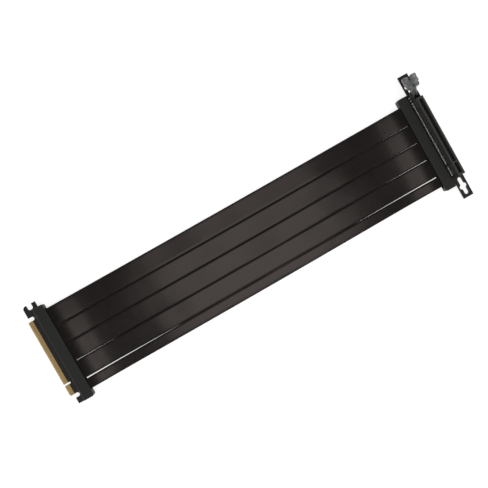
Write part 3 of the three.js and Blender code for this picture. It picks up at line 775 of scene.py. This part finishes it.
class RISER_OT_shells(bpy.types.Operator):
    """Finishes the shell halves in grained moulding with softened edges"""

    bl_idname = "riser.shells"
    bl_label = "Shells"

    def execute(self, context):
        settings = context.scene.riser_shell
        plain = moulded_finish(settings)
        for end in ("plug", "socket"):
            for half in ("top", "bottom"):
                round_edges(finish_node(f"{end}_shell_{half}", plain), settings.edge)
        return {"FINISHED"}


class RISER_OT_boards(bpy.types.Operator):
    """Finishes the two circuit boards"""

    bl_idname = "riser.boards"
    bl_label = "Circuit boards"

    def execute(self, context):
        board = board_finish(context.scene.riser_board)
        for name in ("plug_board", "socket_board"):
            finish_node(name, board)
        return {"FINISHED"}


class RISER_OT_fingers(bpy.types.Operator):
    """Plates the gold fingers on both faces of the plug's tongue"""

    bl_idname = "riser.fingers"
    bl_label = "Gold fingers"

    def execute(self, context):
        settings = context.scene.riser_board
        half = (BOARD_TOP - BOARD_BOTTOM) / 2
        tip = 0.45 * MM
        lead_in = 1.3 * MM
        plating = 0.07 * MM
        start = 0.12 * MM
        outline = [
            (start, tip - plating / 2), (start, tip + plating), (lead_in, half + plating),
            (settings.finger_end - plating, half + plating), (settings.finger_end, half),
            (settings.finger_end, half - plating / 2), (lead_in, half - plating / 2),
        ]
        work = bmesh.new()
        for place in contact_places():
            y = PLUG_KEY_Y + place
            for face in (1, -1):
                profile = [(PLUG_EDGE_X + x, BOARD_MIDDLE + face * z) for x, z in outline]
                add_bar(work, profile, y - settings.finger_width / 2, y + settings.finger_width / 2)
        fingers = new_piece("gold_fingers", mesh_of("gold_fingers", work), gold_finish(settings))
        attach(fingers, "riser")
        return {"FINISHED"}


class RISER_OT_slot(bpy.types.Operator):
    """Finishes the card slot and its contacts"""

    bl_idname = "riser.slot"
    bl_label = "Card slot"

    def execute(self, context):
        scene = context.scene
        finish_node("slot_housing", slot_finish(scene.riser_slot, tuple(scene.riser_board.gold)))
        return {"FINISHED"}


class RISER_OT_tails(bpy.types.Operator):
    """Bends the contacts' tinned tails down to their pads, along both feet of the slot"""

    bl_idname = "riser.tails"
    bl_label = "Solder tails"

    def execute(self, context):
        settings = context.scene.riser_slot
        tail_half = settings.tail_width / 2
        pad_half = tail_half * PAD_TO_TAIL_WIDTH
        work = bmesh.new()
        for wall, outward in ((SLOT_LOW[0], -1), (SLOT_HIGH[0], 1)):
            for place in contact_places():
                y = SOCKET_KEY_Y + place
                for outline, half in ((TAIL_OUTLINE, tail_half), (PAD_OUTLINE, pad_half)):
                    profile = [(wall + outward * x * MM, BOARD_TOP + z * MM) for x, z in outline]
                    add_bar(work, profile, y - half, y + half)
        tails = new_piece("solder_tails", mesh_of("solder_tails", work), tin_finish(settings))
        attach(tails, "riser")
        return {"FINISHED"}


class RISER_OT_latch(bpy.types.Operator):
    """Finishes the retention latch"""

    bl_idname = "riser.latch"
    bl_label = "Retention latch"

    def execute(self, context):
        settings = context.scene.riser_latch
        round_edges(finish_node("retention_latch", latch_finish(settings)), settings.edge)
        return {"FINISHED"}


class RISER_OT_capacitors(bpy.types.Operator):
    """Finishes the capacitors and adds their solder"""

    bl_idname = "riser.capacitors"
    bl_label = "Capacitors"

    def execute(self, context):
        scene = context.scene
        settings = scene.riser_capacitor
        material = capacitor_finish(settings, tuple(scene.riser_slot.tin))
        work = bmesh.new()
        for index in range(settings.count):
            name = f"capacitor_{index + 1}"
            low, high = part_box(name)
            round_edges(finish_node(name, material), CAPACITOR_EDGE)
            for end, outward in ((low[0], -1), (high[0], 1)):
                profile = [(end + outward * x * MM, BOARD_TOP + z * MM) for x, z in FILLET_OUTLINE]
                add_bar(work, profile, low[1] - FILLET_OVERHANG, high[1] + FILLET_OVERHANG)
        tin = tin_finish(scene.riser_slot)
        solder = new_piece("capacitor_solder", mesh_of("capacitor_solder", work), tin)
        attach(solder, "riser")
        return {"FINISHED"}


class RISER_OT_stage(bpy.types.Operator):
    """Lays the pale floor and sets the soft light"""

    bl_idname = "riser.stage"
    bl_label = "Stage"

    def execute(self, context):
        settings = context.scene.riser_stage
        self.lay_floor(settings)
        self.hang_lamp(context, settings)
        self.light_world(context, settings)
        context.scene.view_settings.view_transform = "Standard"
        return {"FINISHED"}

    def lay_floor(self, settings):
        """A floor that bounces light as a matt surface and shows itself as an even pale ground."""
        material, finish = new_finish("floor")
        shown = finish.node("ShaderNodeLightPath", output="Is Camera Ray")
        for ray in ("Is Glossy Ray", "Is Transmission Ray"):
            shown = shown.at_least(finish.node("ShaderNodeLightPath", output=ray))
        matt = finish.node("ShaderNodeBsdfDiffuse", None, {"Color": opaque(tuple(settings.floor))})
        glow = finish.node("ShaderNodeEmission", None, {"Strength": settings.floor_glow})
        shade = finish.node("ShaderNodeBsdfDiffuse", None, {"Color": opaque((settings.floor_shade,) * 3)})
        pale = finish.node("ShaderNodeAddShader", None, {0: glow, 1: shade})
        surface = finish.node("ShaderNodeMixShader", None, {0: shown, 1: matt, 2: pale})
        finish.node("ShaderNodeOutputMaterial", None, {"Surface": surface})
        work = bmesh.new()
        signs = [(-1, -1), (1, -1), (1, 1), (-1, 1)]
        work.faces.new([work.verts.new((x * FLOOR_REACH, y * FLOOR_REACH, -FLOOR_DROP)) for x, y in signs])
        new_piece("floor", mesh_of("floor", work), material)

    def hang_lamp(self, context, settings):
        data = bpy.data.lights.new("overhead", "AREA")
        data.shape = "RECTANGLE"
        data.size = settings.lamp_width
        data.size_y = settings.lamp_depth
        data.energy = settings.overhead
        lamp = bpy.data.objects.new("overhead", data)
        lamp.location = settings.lamp_place
        context.scene.collection.objects.link(lamp)

    def light_world(self, context, settings):
        world = bpy.data.worlds.new("soft_room")
        world.use_nodes = True
        finish = Finish(world.node_tree)
        direction = finish.node("ShaderNodeTexCoord", output="Generated")
        upward = finish.node("ShaderNodeSeparateXYZ", None, {0: direction}, "Z")
        strength = settings.sky_low - upward * upward * (settings.sky_low - settings.sky_high)
        sky = finish.node("ShaderNodeBackground", None, {"Strength": strength, "Color": (1, 1, 1, 1)})
        finish.node("ShaderNodeOutputWorld", None, {"Surface": sky})
        context.scene.world = world


OPERATORS = (
    RISER_OT_camera, RISER_OT_ribbon, RISER_OT_shells, RISER_OT_boards, RISER_OT_fingers,
    RISER_OT_slot, RISER_OT_tails, RISER_OT_latch, RISER_OT_capacitors, RISER_OT_stage,
)

SETTINGS = {
    "riser_camera": CameraSettings,
    "riser_ribbon": RibbonSettings,
    "riser_shell": ShellSettings,
    "riser_board": BoardSettings,
    "riser_slot": SlotSettings,
    "riser_latch": LatchSettings,
    "riser_capacitor": CapacitorSettings,
    "riser_stage": StageSettings,
}


class RISER_PT_pieces(bpy.types.Panel):
    """Lists the pieces of the riser cable"""

    bl_idname = "RISER_PT_pieces"
    bl_label = "Riser cable"
    bl_space_type = "VIEW_3D"
    bl_region_type = "UI"
    bl_category = "Riser"

    def draw(self, context):
        for operator in OPERATORS:
            self.layout.operator(operator.bl_idname)
        for name, group in SETTINGS.items():
            box = self.layout.box()
            for setting in group.__annotations__:
                box.prop(getattr(context.scene, name), setting)


def register():
    for group in SETTINGS.values():
        bpy.utils.register_class(group)
    for operator in OPERATORS:
        bpy.utils.register_class(operator)
    bpy.utils.register_class(RISER_PT_pieces)
    for name, group in SETTINGS.items():
        setattr(bpy.types.Scene, name, PointerProperty(type=group))


def unregister():
    for name in SETTINGS:
        delattr(bpy.types.Scene, name)
    bpy.utils.unregister_class(RISER_PT_pieces)
    for operator in reversed(OPERATORS):
        bpy.utils.unregister_class(operator)
    for group in reversed(SETTINGS.values()):
        bpy.utils.unregister_class(group)


def main():
    register()
    for operator in OPERATORS:
        family, name = operator.bl_idname.split(".")
        getattr(getattr(bpy.ops, family), name)()


if __name__ == "__main__":
    main()
